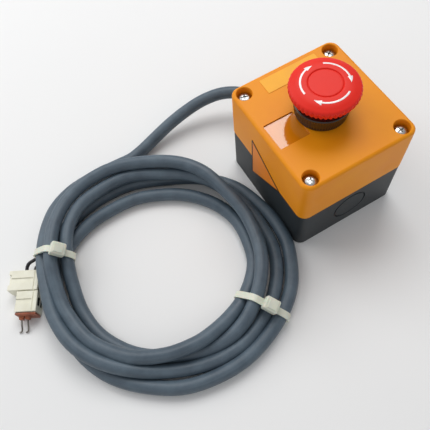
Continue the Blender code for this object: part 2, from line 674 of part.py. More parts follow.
def cable_ties():
    """Nylon ties round the coil, each a strap loop and its ratchet head in one moulding."""
    width = 4.6 * MM
    thick = 1.2 * MM
    clear = 0.45 * MM
    for number, (angle, head_r) in enumerate(zip(TIE_ANGLES, TIE_HEAD_R), 1):
        inner = COIL_INNER - clear
        outer = COIL_OUTER + clear
        low = COIL_LOW - clear
        top = COIL_TOP + clear
        strap = box(f"cable_tie_{number}", (inner - thick, -width / 2, low - thick),
                    (outer + thick, width / 2, top + thick), TIE_NYLON)
        middle = box(f"tie_{number}_middle", (inner, -width, low), (outer, width, top), TIE_NYLON)
        head = box(f"tie_{number}_head", (head_r - 4.4 * MM, -4 * MM, top + 0.2 * MM),
                   (head_r + 4.4 * MM, 4 * MM, top + 6 * MM), TIE_NYLON, 1.2 * MM, 2)
        place = Matrix.Translation(COIL_CENTRE) @ Matrix.Rotation(math.radians(angle), 4, "Z")
        for piece in (strap, middle, head):
            piece.matrix_world = place
        combine(strap, middle, "DIFFERENCE")
        combine(strap, head, "UNION")


def connector_place():
    return Matrix.Translation(CONNECTOR_ORIGIN) @ Matrix.Rotation(CONNECTOR_YAW, 4, "Z")


def connectors():
    """Two nylon housings side by side, a brown end plate and two bent pins on the outer one."""
    place = connector_place()
    corners = {
        1: ((-12, 0.4, 0.2), (7.4, 13.7, 10.4)),
        2: ((-5.5, -13.4, 0.2), (8, -0.1, 10.4)),
    }
    for number, (low, high) in corners.items():
        low = Vector(low) * MM
        high = Vector(high) * MM
        housing = box(f"connector_housing_{number}", low, high, HOUSING_NYLON)
        slot_y = (low.y + high.y) / 2
        pocket = box(f"connector_slot_{number}", (high.x - 1.6 * MM, slot_y - 2.6 * MM, 5.4 * MM),
                     (high.x + MM, slot_y + 2.6 * MM, 8.8 * MM), HOUSING_NYLON)
        housing.matrix_world = place
        pocket.matrix_world = place
        combine(housing, pocket, "DIFFERENCE")
    low = Vector((-5.2, -15.0, 0.6)) * MM
    high = Vector((7.8, -13.7, 9.6)) * MM
    plate = box("connector_plate", low, high, BROWN_BOARD)
    plate.matrix_world = place
    for number, x in ((1, -2.2), (2, 1.8)):
        bend = (
            (x, -15.3, 5.2), (x, -17.4, 4.8), (x - 0.2, -19.8, 3.4), (x - 0.3, -22.2, 1.7),
            (x - 0.8, -23.4, 1.0), (x - 2.0, -23.9, 0.8),
        )
        points = [place @ p for p in smooth_points(bend, 1.6 * MM)]
        tube(f"connector_pin_{number}", points, 0.5 * MM, ZINC_STEEL, 1)


def tail_cores():
    """Two cores from the end of the jacket, under the coil, to the inner housing."""
    routes = (
        ((-184.0, 37.0, 8.5), (-188.5, 38.0, 8.2), (-192.6, 37.6, 7.2), (-194.9, 35.4, 6.2),
         (-195.6, 33.75, 6.0)),
        ((-185.7, 33.9, 4.8), (-188.2, 34.4, 4.8), (-190.2, 33.3, 4.8), (-191.05, 31.5, 4.8)),
    )
    for number, route in enumerate(routes, 1):
        tube(f"tail_core_{number}", smooth_points(route, 2.2 * MM), CORE_R, CORE_PVC, 2)


base_shell()
lid_gasket()
lid_shell()
lid_screws()
labels()
mushroom_cap()
release_arrows()
cap_stem()
push_plunger()
spring("return_spring", 6.6 * MM, 0.42 * MM, 57.3 * MM, 68.2 * MM, 5, SPRING_STEEL)
actuator_barrel()
collar()
panel_fixings()
contact_carrier()
contact_block(1, -1)
contact_block(2, 1)
inner_cores()
lead()
coil()
cable_ties()
connectors()
tail_cores()
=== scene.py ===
"""Emergency stop station on its coiled lead: the looks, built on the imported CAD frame."""
import math

import bmesh
import bpy
from mathutils import Matrix, Vector


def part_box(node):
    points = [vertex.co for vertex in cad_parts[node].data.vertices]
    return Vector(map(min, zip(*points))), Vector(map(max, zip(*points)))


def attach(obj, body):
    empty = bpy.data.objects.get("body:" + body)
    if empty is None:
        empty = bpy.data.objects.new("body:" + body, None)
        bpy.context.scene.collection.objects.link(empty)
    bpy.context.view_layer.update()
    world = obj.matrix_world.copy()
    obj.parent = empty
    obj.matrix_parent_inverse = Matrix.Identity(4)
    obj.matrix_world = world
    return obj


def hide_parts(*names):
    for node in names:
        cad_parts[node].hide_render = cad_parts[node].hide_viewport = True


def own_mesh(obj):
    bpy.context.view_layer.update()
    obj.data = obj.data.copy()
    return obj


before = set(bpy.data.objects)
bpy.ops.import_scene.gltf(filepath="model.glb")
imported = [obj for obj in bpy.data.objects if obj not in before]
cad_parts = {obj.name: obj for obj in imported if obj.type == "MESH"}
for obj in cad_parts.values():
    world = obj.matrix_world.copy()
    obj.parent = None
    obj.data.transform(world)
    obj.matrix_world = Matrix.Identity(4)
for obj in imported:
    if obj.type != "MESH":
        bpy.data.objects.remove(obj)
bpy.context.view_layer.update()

MM = 0.001

# ---- Camera, floor and light -----------------------------------------------------------------
# A hand-held view from above and in front, on a plain pale table, under two wide soft lights from
# behind and a weak one from the front.

camera_data = bpy.data.cameras.new("view_camera")
camera_data.sensor_width = 36
camera_data.lens = 43.13
camera = bpy.data.objects.new("view_camera", camera_data)
place = Matrix.Translation((-0.12966, -0.13764, 0.30968))
turn = Matrix.Rotation(math.radians(-21.956), 4, "Z")
tilt = Matrix.Rotation(math.radians(26.80), 4, "X")
roll = Matrix.Rotation(math.radians(-9.049), 4, "Z")
camera.matrix_world = place @ turn @ tilt @ roll
bpy.context.scene.collection.objects.link(camera)
bpy.context.scene.camera = camera
bpy.context.scene.view_settings.view_transform = "Standard"


def linear(code):
    """An sRGB hex colour as linear values with full alpha."""
    values = [int(code[i:i + 2], 16) / 255 for i in (1, 3, 5)]
    return (*[v / 12.92 if v <= 0.04045 else ((v + 0.055) / 1.055) ** 2.4 for v in values], 1)


def add_node(tree, kind, settings=None, links=None):
    """Adds a node; a setting names one of its inputs or else one of its own properties."""
    made = tree.nodes.new(kind)
    for name, value in (settings or {}).items():
        if name in made.inputs:
            made.inputs[name].default_value = value
        else:
            setattr(made, name, value)
    for name, source in (links or {}).items():
        tree.links.new(source, made.inputs[name])
    return made


def new_material(name):
    """A material, its node tree, its shader and its texture coordinates."""
    look = bpy.data.materials.new(name)
    look.use_nodes = True
    tree = look.node_tree
    return look, tree, tree.nodes["Principled BSDF"], add_node(tree, "ShaderNodeTexCoord")


def tone_ramp(tree, factor, *ends):
    """A colour ramp with an end at each (position, sRGB hex colour)."""
    made = add_node(tree, "ShaderNodeValToRGB", links={"Fac": factor})
    for end, (position, code) in zip(made.color_ramp.elements, ends):
        end.position = position
        end.color = linear(code)
    return made


def table_top():
    """Matt white laminate, with a very faint cloud of tone."""
    look, tree, shader, where = new_material("white_laminate")
    shader.inputs["Roughness"].default_value = 0.6
    shader.inputs["Specular IOR Level"].default_value = 0.25
    cloud = add_node(tree, "ShaderNodeTexNoise", {"Scale": 4.0, "Detail": 2.0},
                     {"Vector": where.outputs["Object"]})
    tone = add_node(tree, "ShaderNodeMix", {"data_type": "RGBA"},
                    {"Factor": cloud.outputs["Fac"]})
    tone.inputs[6].default_value = linear("#eeeeed")
    tone.inputs[7].default_value = linear("#f1f1f0")
    tree.links.new(tone.outputs[2], shader.inputs["Base Color"])
    return look


bm = bmesh.new()
bmesh.ops.create_grid(bm, x_segments=1, y_segments=1, size=3)
mesh = bpy.data.meshes.new("table_top")
bm.to_mesh(mesh)
bm.free()
table = bpy.data.objects.new("table_top", mesh)
table.data.materials.append(table_top())
bpy.context.scene.collection.objects.link(table)

world = bpy.data.worlds.new("studio")
world.use_nodes = True
world.node_tree.nodes["Background"].inputs["Color"].default_value = linear("#fbfcff")
world.node_tree.nodes["Background"].inputs["Strength"].default_value = 0.45
bpy.context.scene.world = world

LIGHT_AIM = Vector((-0.06, 0, 0))
# Name, place and width in metres, and power in watts
for name, place, width, power in (
        ("key_softbox", (0.38, 0.62, 1.12), 0.75, 7.5),
        ("back_softbox", (-0.6, 0.85, 0.75), 0.9, 5.5),
        ("front_softbox", (-0.7, -0.7, 1.0), 1.1, 0.8)):
    lamp = bpy.data.lights.new(name, "AREA")
    lamp.size = width
    lamp.energy = power
    lamp_object = bpy.data.objects.new(name, lamp)
    lamp_object.location = place
    aim = LIGHT_AIM - Vector(place)
    lamp_object.rotation_euler = aim.to_track_quat("-Z", "Y").to_euler()
    bpy.context.scene.collection.objects.link(lamp_object)

# ---- Lead ------------------------------------------------------------------------------------
# Screened control cable in an extruded grey-blue PVC jacket, 8.6 mm thick. It leaves the moulded
# entry bush, lies down to the table and is wound into about four turns, tied in two places.

CABLE_R = 4.3 * MM
COIL_CENTRE = Vector((-117.2, -9.5, 0)) * MM
# From the wall of the enclosure to the coil, in millimetres; up to 3 mm above the CAD lead
LEAD_ROUTE = (
    (0, 40.5, 20), (0, 46, 20), (-1.2, 54.5, 19.9), (-5.2, 64.5, 20.0),
    (-12.5, 74, 19.8), (-23, 81, 18.4), (-36, 84.6, 15.8), (-50, 85.2, 12.6),
    (-65, 83.6, 9.4), (-79, 80.6, 6.6), (-92, 77.2, 4.8), (-101, 75.6, 4.4),
)
# The winding: (angle about the coil's centre, radius, height) in degrees and millimetres
WINDING = (
    (84, 86.0, 4.3), (97, 86.4, 4.6), (110, 87.6, 6.2), (122, 86.0, 8.6), (135, 81.2, 11.0),
    (148, 76.8, 12.9), (160, 73.8, 12.9), (175, 73.1, 12.9), (190, 72.4, 12.9), (203, 70.8, 12.6),
    (216, 68.4, 11.4), (230, 66.2, 8.8), (243, 65.2, 6.2), (258, 66.0, 4.5), (273, 68.0, 4.3),
    (290, 69.8, 4.3), (313, 70.6, 4.3), (336, 70.0, 4.3), (360, 66.6, 5.5), (380, 65.0, 8.9),
    (400, 64.5, 12.0), (420, 63.7, 12.7), (445, 68.4, 12.8), (470, 70.6, 12.9), (485, 69.0, 12.9),
    (497, 65.0, 12.8), (510, 60.8, 10.8), (522, 58.8, 7.2), (540, 57.9, 4.5), (560, 57.4, 4.3),
    (582, 56.8, 4.3), (603, 56.6, 4.3), (622, 58.4, 4.9), (636, 61.0, 6.6), (650, 62.3, 8.8),
    (664, 61.9, 11.0), (680, 61.1, 12.4), (698, 60.6, 12.7), (720, 60.5, 12.9), (740, 61.2, 16.6),
    (760, 65.6, 20.2), (780, 69.0, 20.2), (805, 75.0, 18.2), (822, 78.4, 16.8), (836, 78.8, 16.4),
    (850, 75.6, 17.2), (864, 71.0, 18.4), (876, 68.2, 16.6), (888, 66.4, 13.8), (900, 65.2, 12.5),
    (920, 63.6, 12.4), (942, 60.6, 12.8), (963, 57.4, 12.9), (982, 55.2, 12.4), (996, 53.9, 10.8),
    (1010, 53.6, 8.6), (1024, 54.2, 6.2), (1040, 55.2, 4.6), (1056, 56.0, 4.3), (1080, 55.4, 4.3),
    (1100, 54.4, 4.3), (1120, 53.0, 4.3), (1140, 52.4, 4.3), (1165, 54.6, 4.3), (1190, 58.6, 4.3),
    (1205, 62.6, 4.3), (1218, 66.2, 4.3), (1230, 68.8, 4.3), (1242, 69.8, 4.3), (1260, 70.9, 4.3),
    (1280, 72.4, 4.3), (1300, 73.4, 4.3), (1323, 74.3, 4.3), (1340, 75.4, 4.3), (1360, 76.8, 4.3),
    (1380, 78.2, 4.3), (1398, 79.9, 4.3), (1416, 79.2, 4.3), (1428, 77.6, 4.3), (1440, 75.2, 4.3),
    (1460, 72.3, 4.3), (1480, 67.8, 4.3), (1500, 64.4, 4.3), (1525, 66.6, 4.3), (1550, 70.4, 4.3),
    (1572, 75.0, 4.3), (1588, 77.6, 4.3),
)


# The two ties lie under the bundle and lift it off the table a little where they are
TIE_ANGLES = (145, -55)
TIE_LIFT = 1.3
# How far from a tie the lift fades, in degrees
LIFT_SPREAD = 30


def wound_point(angle, radius, height):
    """A point of the winding, raised where it passes over a tie."""
    bearing = math.radians(angle)
    for tie_angle in TIE_ANGLES:
        away = (angle - tie_angle + 180) % 360 - 180
        height += TIE_LIFT * math.exp(-(away / LIFT_SPREAD) ** 2)
    x = radius * math.cos(bearing)
    y = radius * math.sin(bearing)
    return COIL_CENTRE + Vector((x, y, height)) * MM


def smooth_line(knots, spacing):
    """Points evenly spaced, about this far apart, on a smooth curve through the knots."""
    knots = [2 * knots[0] - knots[1]] + list(knots) + [2 * knots[-1] - knots[-2]]
    fine = []
    per_span = 24
    for a, b, c, d in zip(knots, knots[1:], knots[2:], knots[3:]):
        for i in range(per_span):
            t = i / per_span
            fine.append(0.5 * (2 * b + (c - a) * t + (2 * a - 5 * b + 4 * c - d) * t ** 2
                               + (3 * b - a - 3 * c + d) * t ** 3))
    fine.append(knots[-2])
    travelled = [0.0]
    for a, b in zip(fine, fine[1:]):
        travelled.append(travelled[-1] + (b - a).length)
    count = max(2, round(travelled[-1] / spacing))
    picked = []
    j = 0
    for i in range(count + 1):
        target = travelled[-1] * i / count
        while j < len(travelled) - 2 and travelled[j + 1] < target:
            j += 1
        share = (target - travelled[j]) / (travelled[j + 1] - travelled[j])
        picked.append(fine[j].lerp(fine[j + 1], share))
    return picked


def line_frames(points):
    """Point, side and up at each point, with no twist along the line."""
    along = (points[1] - points[0]).normalized()
    side = along.orthogonal().normalized()
    frames = []
    for i, point in enumerate(points):
        ahead = points[min(i + 1, len(points) - 1)] - points[max(i - 1, 0)]
        ahead.normalize()
        side = (side - ahead * side.dot(ahead)).normalized()
        frames.append((point, side, ahead.cross(side)))
    return frames


def finished(name, bm, looks, smooth_angle=40):
    """Makes the object of a bmesh, with its doubles merged and its normals outward."""
    bmesh.ops.remove_doubles(bm, verts=bm.verts, dist=1e-6)
    bmesh.ops.recalc_face_normals(bm, faces=bm.faces)
    mesh = bpy.data.meshes.new(name)
    bm.to_mesh(mesh)
    bm.free()
    mesh.shade_smooth()
    mesh.set_sharp_from_angle(angle=math.radians(smooth_angle))
    made = bpy.data.objects.new(name, mesh)
    for look in looks:
        made.data.materials.append(look)
    bpy.context.scene.collection.objects.link(made)
    return made


def tube(name, points, radius, sides, look):
    """A round tube with closed ends; its UV runs round it and along it, in metres along."""
    bm = bmesh.new()
    uv = bm.loops.layers.uv.new("around_along")
    rings = []
    for point, side, up in line_frames(points):
        ring = []
        for k in range(sides):
            bearing = 2 * math.pi * k / sides
            spoke = math.cos(bearing) * side + math.sin(bearing) * up
            ring.append(bm.verts.new(point + radius * spoke))
        rings.append(ring)
    travelled = 0
    for i, (a, b) in enumerate(zip(rings, rings[1:])):
        step = (points[i + 1] - points[i]).length
        for k in range(sides):
            n = (k + 1) % sides
            face = bm.faces.new((a[k], a[n], b[n], b[k]))
            corners = ((k, 0), (k + 1, 0), (k + 1, step), (k, step))
            for loop, (around, far) in zip(face.loops, corners):
                loop[uv].uv = (around / sides, travelled + far)
        travelled += step
    bm.faces.new(rings[0][::-1])
    bm.faces.new(rings[-1])
    return finished(name, bm, [look], 60)


def cable_pvc():
    """Extruded PVC: satin, with faint draw lines, dusty patches and slight tone changes."""
    look, tree, shader, where = new_material("grey_extruded_pvc")
    shader.inputs["IOR"].default_value = 1.53
    # 14 draw lines round the jacket, each some 60 mm long
    stretched = add_node(tree, "ShaderNodeMapping", {"Scale": (14.0, 16.0, 1.0)},
                         {"Vector": where.outputs["UV"]})
    lines = add_node(tree, "ShaderNodeTexNoise", {"Scale": 1.0, "Detail": 3.0},
                     {"Vector": stretched.outputs["Vector"]})
    # Dust and handling marks about 12 mm across
    cloud = add_node(tree, "ShaderNodeTexNoise", {"Scale": 85.0, "Detail": 4.0, "Roughness": 0.6},
                     {"Vector": where.outputs["Object"]})
    # Matt grain of the jacket, drawn at 0.7 mm so that it shows
    grain = add_node(tree, "ShaderNodeTexNoise", {"Scale": 1400.0, "Detail": 2.0},
                     {"Vector": where.outputs["Object"]})
    tone = tone_ramp(tree, cloud.outputs["Fac"], (0.32, "#414f5b"), (0.72, "#566672"))
    streak = add_node(tree, "ShaderNodeMapRange",
                      {"From Min": 0.35, "From Max": 0.7, "To Max": 0.22},
                      {"Value": lines.outputs["Fac"]})
    mixed = add_node(tree, "ShaderNodeMix", {"data_type": "RGBA"},
                     {"Factor": streak.outputs["Result"]})
    tree.links.new(tone.outputs["Color"], mixed.inputs[6])
    mixed.inputs[7].default_value = linear("#697883")
    tree.links.new(mixed.outputs[2], shader.inputs["Base Color"])
    rough = add_node(tree, "ShaderNodeMapRange", {"To Min": 0.36, "To Max": 0.6},
                     {"Value": cloud.outputs["Fac"]})
    tree.links.new(rough.outputs["Result"], shader.inputs["Roughness"])
    relief = add_node(tree, "ShaderNodeMath", {"operation": "ADD"})
    tree.links.new(lines.outputs["Fac"], relief.inputs[0])
    tree.links.new(grain.outputs["Fac"], relief.inputs[1])
    bump = add_node(tree, "ShaderNodeBump", {"Strength": 0.25, "Distance": 0.1 * MM},
                    {"Height": relief.outputs["Value"]})
    tree.links.new(bump.outputs["Normal"], shader.inputs["Normal"])
    return look


route = [Vector(p) * MM for p in LEAD_ROUTE] + [wound_point(*p) for p in WINDING]
cable_line = smooth_line(route, 3.2 * MM)
cable = tube("cable", cable_line, CABLE_R, 20, cable_pvc())
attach(cable, "enclosure")
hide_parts("cable_lead", "cable_coil")

# ---- Entry bush ------------------------------------------------------------------------------
# Black thermoplastic rubber, moulded on the cable: a lip inside the wall, a round flange against
# it outside, and a tapered tail, slit across so that it bends with the cable.

LIP_R = 9.9
FLANGE_R = 12.8
BUSH_BORE = 4.42
WALL_INSIDE = -2.9 * MM
SLIT_COUNT = 6
SLIT_PITCH = 2.9
# The tail's radius at its first slit, what it loses by each next one, and where it ends
TAIL_R = 9.0
TAIL_TAPER = 0.52
TAIL_END = 25.4 * MM


def sleeve(name, line, outline, steps, look):
    """A closed thick sleeve along a line, from (distance, radius in mm) points round its wall."""
    frames = line_frames(line)
    spacing = (line[1] - line[0]).length
    bm = bmesh.new()
    rings = []
    for distance, radius in outline:
        position = distance / spacing
        j = min(max(int(position), 0), len(line) - 2)
        along = (line[j + 1] - line[j]).normalized()
        centre = line[j] + along * (distance - j * spacing)
        side = (frames[j][1] - along * frames[j][1].dot(along)).normalized()
        up = along.cross(side)
        ring = []
        for k in range(steps):
            bearing = 2 * math.pi * k / steps
            spoke = math.cos(bearing) * side + math.sin(bearing) * up
            ring.append(bm.verts.new(centre + radius * MM * spoke))
        rings.append(ring)
    for a, b in zip(rings, rings[1:] + rings[:1]):
        for k in range(steps):
            n = (k + 1) % steps
            bm.faces.new((a[k], a[n], b[n], b[k]))
    return finished(name, bm, [look], 30)


def moulded(name, colour, shade, rough, grain_mm, relief_mm, cloud_mm=25, coat=0.0, sheen=0.5):
    """A moulded plastic or rubber: fine grain, soft tone clouds and handling marks.

    grain_mm and cloud_mm are their sizes, and relief_mm is the depth of the grain.
    """
    look, tree, shader, where = new_material(name)
    shader.inputs["IOR"].default_value = 1.52
    shader.inputs["Specular IOR Level"].default_value = sheen
    shader.inputs["Coat Weight"].default_value = coat
    shader.inputs["Coat Roughness"].default_value = 0.08
    cloud = add_node(tree, "ShaderNodeTexNoise", {"Scale": 1000 / cloud_mm, "Detail": 3.0},
                     {"Vector": where.outputs["Object"]})
    grain = add_node(tree, "ShaderNodeTexNoise", {"Scale": 1000 / grain_mm, "Detail": 2.0},
                     {"Vector": where.outputs["Object"]})
    # Hairline rubs left by handling, some 15 mm long and 0.5 mm wide
    drawn_out = add_node(tree, "ShaderNodeMapping", {"Scale": (65.0, 2000.0, 65.0),
                                                     "Rotation": (0.2, 0.1, 0.7)},
                         {"Vector": where.outputs["Object"]})
    rubs = add_node(tree, "ShaderNodeTexNoise", {"Scale": 1.0, "Detail": 1.0},
                    {"Vector": drawn_out.outputs["Vector"]})
    rub_share = add_node(tree, "ShaderNodeMapRange",
                         {"From Min": 0.62, "From Max": 0.8, "To Max": 0.06},
                         {"Value": rubs.outputs["Fac"]})
    tone = tone_ramp(tree, cloud.outputs["Fac"], (0.3, shade), (0.7, colour))
    tree.links.new(tone.outputs["Color"], shader.inputs["Base Color"])
    uneven = add_node(tree, "ShaderNodeMapRange", {"To Min": rough - 0.05, "To Max": rough + 0.05},
                      {"Value": cloud.outputs["Fac"]})
    worn = add_node(tree, "ShaderNodeMath", {"operation": "ADD"})
    tree.links.new(uneven.outputs["Result"], worn.inputs[0])
    tree.links.new(rub_share.outputs["Result"], worn.inputs[1])
    tree.links.new(worn.outputs["Value"], shader.inputs["Roughness"])
    bump = add_node(tree, "ShaderNodeBump", {"Strength": 0.35, "Distance": relief_mm * MM},
                    {"Height": grain.outputs["Fac"]})
    tree.links.new(bump.outputs["Normal"], shader.inputs["Normal"])
    return look


# Thermoplastic rubber: dull black with a soft, slightly dusty bloom
seal_rubber = moulded("black_moulded_rubber", "#2b2c2e", "#1d1e20", 0.68, 0.6, 0.06)
# Distance from the wall's outer face and radius in mm, from the lip to the tail's end
bush_outline = [
    (WALL_INSIDE - 2.4 * MM, BUSH_BORE), (WALL_INSIDE - 2.4 * MM, 9.2),
    (WALL_INSIDE - 0.3 * MM, 11.2), (WALL_INSIDE - 0.3 * MM, LIP_R), (0.1 * MM, LIP_R),
    (0.1 * MM, FLANGE_R - 0.4), (0.4 * MM, FLANGE_R), (1.9 * MM, FLANGE_R),
    (2.4 * MM, FLANGE_R - 0.4), (2.5 * MM, 9.6), (2.9 * MM, 9.1),
]
for i in range(SLIT_COUNT):
    start = (4.6 + SLIT_PITCH * i) * MM
    radius = TAIL_R - TAIL_TAPER * i
    bush_outline += [(start, radius), (start + 0.15 * MM, radius - 0.3),
                     (start + 0.25 * MM, radius - 1.5), (start + 0.95 * MM, radius - 1.65),
                     (start + 1.05 * MM, radius - 0.5), (start + 1.2 * MM, radius - 0.2)]
bush_outline += [(24.2 * MM, 5.5), (25.0 * MM, 5.3), (TAIL_END, 4.9), (TAIL_END, BUSH_BORE),
                 (16 * MM, BUSH_BORE), (8 * MM, BUSH_BORE)]
# The line starts 8 mm inside the outer face, where the lip is
inside = [Vector((0, 40.5 - 8 + 0.5 * i, 20)) * MM for i in range(16)]
bush_line = smooth_line(inside + cable_line[:14], 0.5 * MM)
bush_start = sum((b - a).length for a, b in zip(inside, inside[1:])) + 0.5 * MM
bush_outline = [(distance + bush_start, radius) for distance, radius in bush_outline]
bush = sleeve("entry_bush", bush_line, bush_outline, 40, seal_rubber)
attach(bush, "enclosure")
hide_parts("cable_grommet")

# ---- Cable ties ------------------------------------------------------------------------------
# Natural polyamide ties, 4.1 mm wide, pulled tight round the bundle. Each is one moulding, a
# flat strap with a square ratchet head through which its own tip passes, cut off flush.

STRAP_W = 4.1 * MM
STRAP_T = 1.1 * MM
STRAP_GAP = 0.12 * MM
STRAP_SIDES = 72
# The sides of the strap that face up, from 30 to 150 degrees
UPPER_RUN = slice(6, 31)
# Each head's distance from the coil's centre
HEAD_RADII = (66 * MM, 71 * MM)
# A tie goes round the strands within this much of its plane, outside this radius of the coil
TIE_REACH = 1.8 * MM
COIL_INSIDE = 30 * MM


def rounded_box(name, low, high, radius, segments, looks):
    """A box between two corners with every edge rounded."""
    bm = bmesh.new()
    bmesh.ops.create_cube(bm, size=1)
    bmesh.ops.scale(bm, vec=Vector(high) - Vector(low), verts=bm.verts)
    bmesh.ops.translate(bm, vec=(Vector(high) + Vector(low)) / 2, verts=bm.verts)
    bmesh.ops.bevel(bm, geom=bm.edges[:], offset=radius, segments=segments, profile=0.5,
                    affect="EDGES", material=-1)
    return finished(name, bm, looks)


def carve(piece, tool, operation="DIFFERENCE"):
    """Cuts a tool out of a piece, or joins it on, and removes the tool."""
    step = piece.modifiers.new("carve", "BOOLEAN")
    step.operation = operation
    step.object = tool
    bpy.context.view_layer.update()
    graph = bpy.context.evaluated_depsgraph_get()
    shaped = bpy.data.meshes.new_from_object(piece.evaluated_get(graph))
    piece.modifiers.clear()
    piece.data = shaped
    bpy.data.objects.remove(tool)


def eased(piece, angle):
    """Smooth shading up to an angle, with each flat face keeping its own normal."""
    piece.data.shade_smooth()
    piece.data.set_sharp_from_angle(angle=math.radians(angle))
    weighted = piece.modifiers.new("flat_faces_stay_flat", "WEIGHTED_NORMAL")
    weighted.weight = 100
    weighted.keep_sharp = True


def settled(piece, matrix):
    """Puts a piece's place into its mesh."""
    piece.data.transform(matrix)
    return piece


# Natural polyamide: milky and faintly green-grey, satin, with a soft glow in thin sections
tie_nylon = moulded("natural_polyamide", "#dfe1d0", "#cdd1c2", 0.42, 0.9, 0.03, 9)
tie_nylon.node_tree.nodes["Principled BSDF"].inputs["Subsurface Weight"].default_value = 0.15
tie_nylon.node_tree.nodes["Principled BSDF"].inputs["Subsurface Scale"].default_value = 1.5 * MM
spokes = []
for k in range(STRAP_SIDES):
    bearing = 2 * math.pi * k / STRAP_SIDES
    spokes.append(Vector((math.cos(bearing), math.sin(bearing))))
for number, (angle, head_r) in enumerate(zip(TIE_ANGLES, HEAD_RADII), 1):
    bearing = math.radians(angle)
    across = Vector((math.cos(bearing), math.sin(bearing), 0))
    onward = Vector((-math.sin(bearing), math.cos(bearing), 0))
    passes = []
    for point in cable_line:
        offset = point - COIL_CENTRE
        if abs(offset.dot(onward)) < TIE_REACH and offset.dot(across) > COIL_INSIDE:
            passes.append(Vector((offset.dot(across), offset.z)))
    loop = []
    for away in spokes:
        reach = max(passes, key=lambda p: p.dot(away))
        loop.append(reach + away * (CABLE_R + STRAP_GAP))
    bm = bmesh.new()
    # The lowest run stays just clear of the table
    ring = [bm.verts.new(COIL_CENTRE + across * p.x + Vector((0, 0, max(p.y, STRAP_T + 0.1 * MM)))
                         - onward * STRAP_W / 2) for p in loop]
    edges = [bm.edges.new(pair) for pair in zip(ring, ring[1:] + ring[:1])]
    band = bmesh.ops.extrude_edge_only(bm, edges=edges)
    moved = [v for v in band["geom"] if isinstance(v, bmesh.types.BMVert)]
    bmesh.ops.translate(bm, vec=onward * STRAP_W, verts=moved)
    bmesh.ops.remove_doubles(bm, verts=bm.verts, dist=1e-5)
    bmesh.ops.recalc_face_normals(bm, faces=bm.faces)
    bmesh.ops.solidify(bm, geom=bm.faces[:], thickness=-STRAP_T)
    tie = finished(f"tie_{number}", bm, [tie_nylon])
    # Where the strap's upper run passes under the head, and how it slopes there
    spans = [((p.dot(n) - head_r * n.x) / n.y, n)
             for p, n in zip(loop[UPPER_RUN], spokes[UPPER_RUN])]
    top, upward = min(spans, key=lambda span: span[0])
    head = rounded_box("tie_head", (-4.6 * MM, -4.1 * MM, 0), (4.6 * MM, 4.1 * MM, 5.6 * MM),
                       1.1 * MM, 3, [tie_nylon])
    # The slot for the tip, and the raised step on the head's top
    slot = rounded_box("tie_slot", (-6 * MM, -2.5 * MM, 1.5 * MM), (-4.1 * MM, 2.5 * MM, 3.2 * MM),
                       0.2 * MM, 1, [tie_nylon])
    carve(head, slot)
    step = rounded_box("tie_step", (-2.6 * MM, -2.9 * MM, 5.1 * MM), (3.2 * MM, 2.9 * MM, 6.2 * MM),
                       0.4 * MM, 2, [tie_nylon])
    carve(head, step, "UNION")
    slope = math.atan2(upward.x, upward.y)
    settled(head, Matrix.Translation(COIL_CENTRE + across * head_r + Vector((0, 0, top)))
            @ Matrix.Rotation(math.radians(angle), 4, "Z")
            @ Matrix.Rotation(slope, 4, "Y"))
    joined = bmesh.new()
    joined.from_mesh(tie.data)
    joined.from_mesh(head.data)
    joined.to_mesh(tie.data)
    joined.free()
    bpy.data.objects.remove(head)
    eased(tie, 40)
    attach(tie, "enclosure")
    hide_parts(f"cable_tie_{number}")

# ---- Connectors ------------------------------------------------------------------------------
# Two crimp-contact housings moulded in off-white polyamide, one behind the other, each with its
# contact slots towards the coil. The far one has a brown phenolic end plate and two wire pins.

CONNECTOR_PLACE = (Matrix.Translation(Vector((-200, 20, 0)) * MM)
                   @ Matrix.Rotation(math.radians(-28), 4, "Z"))
# Off-white polyamide: warm, satin, with faint flow marks
housing_nylon = moulded("off_white_polyamide", "#efeddb", "#e2dfca", 0.38, 0.7, 0.03, 8)
# The slots are deep and dark: their walls get a near-black painted shade for the contact chambers
slot_painted_shade = moulded("painted_shade_slot_walls", "#17181a", "#0e0f10", 0.6, 0.5, 0.03)
# Low and high corners in millimetres, with the coil on the +X side and the pins on the -Y side
housing_corners = (((-12, 0.4, 0.2), (7.4, 13.7, 10.4)), ((-5.5, -13.4, 0.2), (8, -0.1, 10.4)))
for number, (low, high) in enumerate(housing_corners, 1):
    low = Vector(low) * MM
    high = Vector(high) * MM
    housing = rounded_box(f"connector_{number}", low, high, 0.5 * MM, 3,
                          [housing_nylon, slot_painted_shade])
    middle = (low.y + high.y) / 2
    # Two contact slots, their walls dark with painted shade, then a shallow groove and a thin line
    # in the top
    cuts = [
        ((high.x - 5.5 * MM, middle - 2.6 * MM, 5.6 * MM),
         (high.x + MM, middle + 2.6 * MM, 8.8 * MM), 1),
        ((high.x - 5.5 * MM, middle - 2.6 * MM, 1.6 * MM),
         (high.x + MM, middle + 2.6 * MM, 4.2 * MM), 1),
        ((low.x - MM, middle - 1.6 * MM, 9.7 * MM),
         (high.x - 3.4 * MM, middle + 1.6 * MM, 11 * MM), 0),
        ((high.x - 3.0 * MM, low.y - MM, 9.9 * MM),
         (high.x - 2.2 * MM, high.y + MM, 11 * MM), 0),
    ]
    # A notch in the outer top edge of the wider housing
    if number == 1:
        cuts.append(((-13 * MM, 4 * MM, 8 * MM), (-10.2 * MM, 11 * MM, 11 * MM), 0))
    for cut_low, cut_high, dark in cuts:
        tool = rounded_box("cut", cut_low, cut_high, 0.15 * MM, 1, [housing_nylon, slot_painted_shade])
        # Faces marked 1 take the painted shade of the deep slots; the rest keep the housing's
        # polyamide
        for face in tool.data.polygons:
            face.material_index = dark
        carve(housing, tool)
    eased(housing, 35)
    settled(housing, CONNECTOR_PLACE)
    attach(housing, "enclosure")
    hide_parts(f"connector_housing_{number}")

